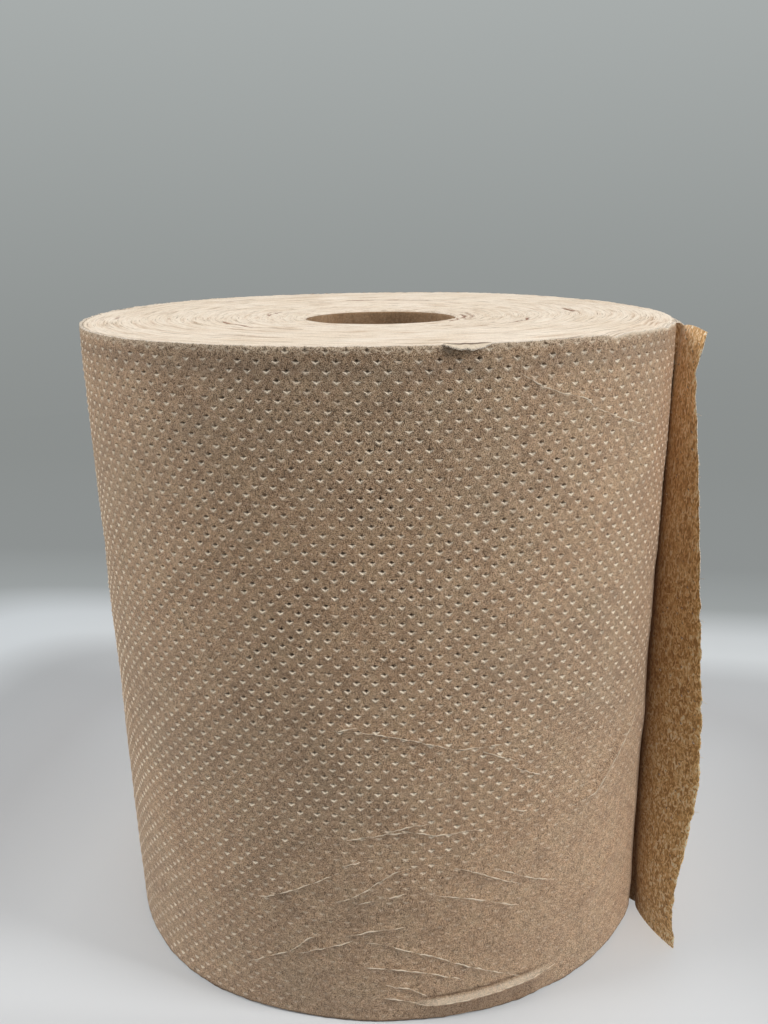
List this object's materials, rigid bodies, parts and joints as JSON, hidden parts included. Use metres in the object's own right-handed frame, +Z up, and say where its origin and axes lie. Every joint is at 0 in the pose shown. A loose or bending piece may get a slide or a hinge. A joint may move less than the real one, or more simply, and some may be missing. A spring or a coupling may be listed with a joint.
{
  "type": "paper towel roll",
  "caption": "Hard-wound roll of dot-embossed unbleached kraft paper towel on a plain paperboard core, standing on end, with the torn end of the outer turn sprung loose.",
  "frame": {"origin": "on the core's axis, in the plane of the end that the roll stands on", "axes": "+Z up along the core's axis, -Y towards the front, +X towards the side where the torn end of the outer turn stands off"},
  "size_m": [0.1922, 0.188, 0.203],
  "materials": {
    "towel_paper": "matte unbleached kraft, dot embossed",
    "core_board": "matte spiral-wound paperboard"
  },
  "bodies": {
    "root": {"paper_web": "towel_paper", "core_tube": "core_board"}
  },
  "joints": []
}
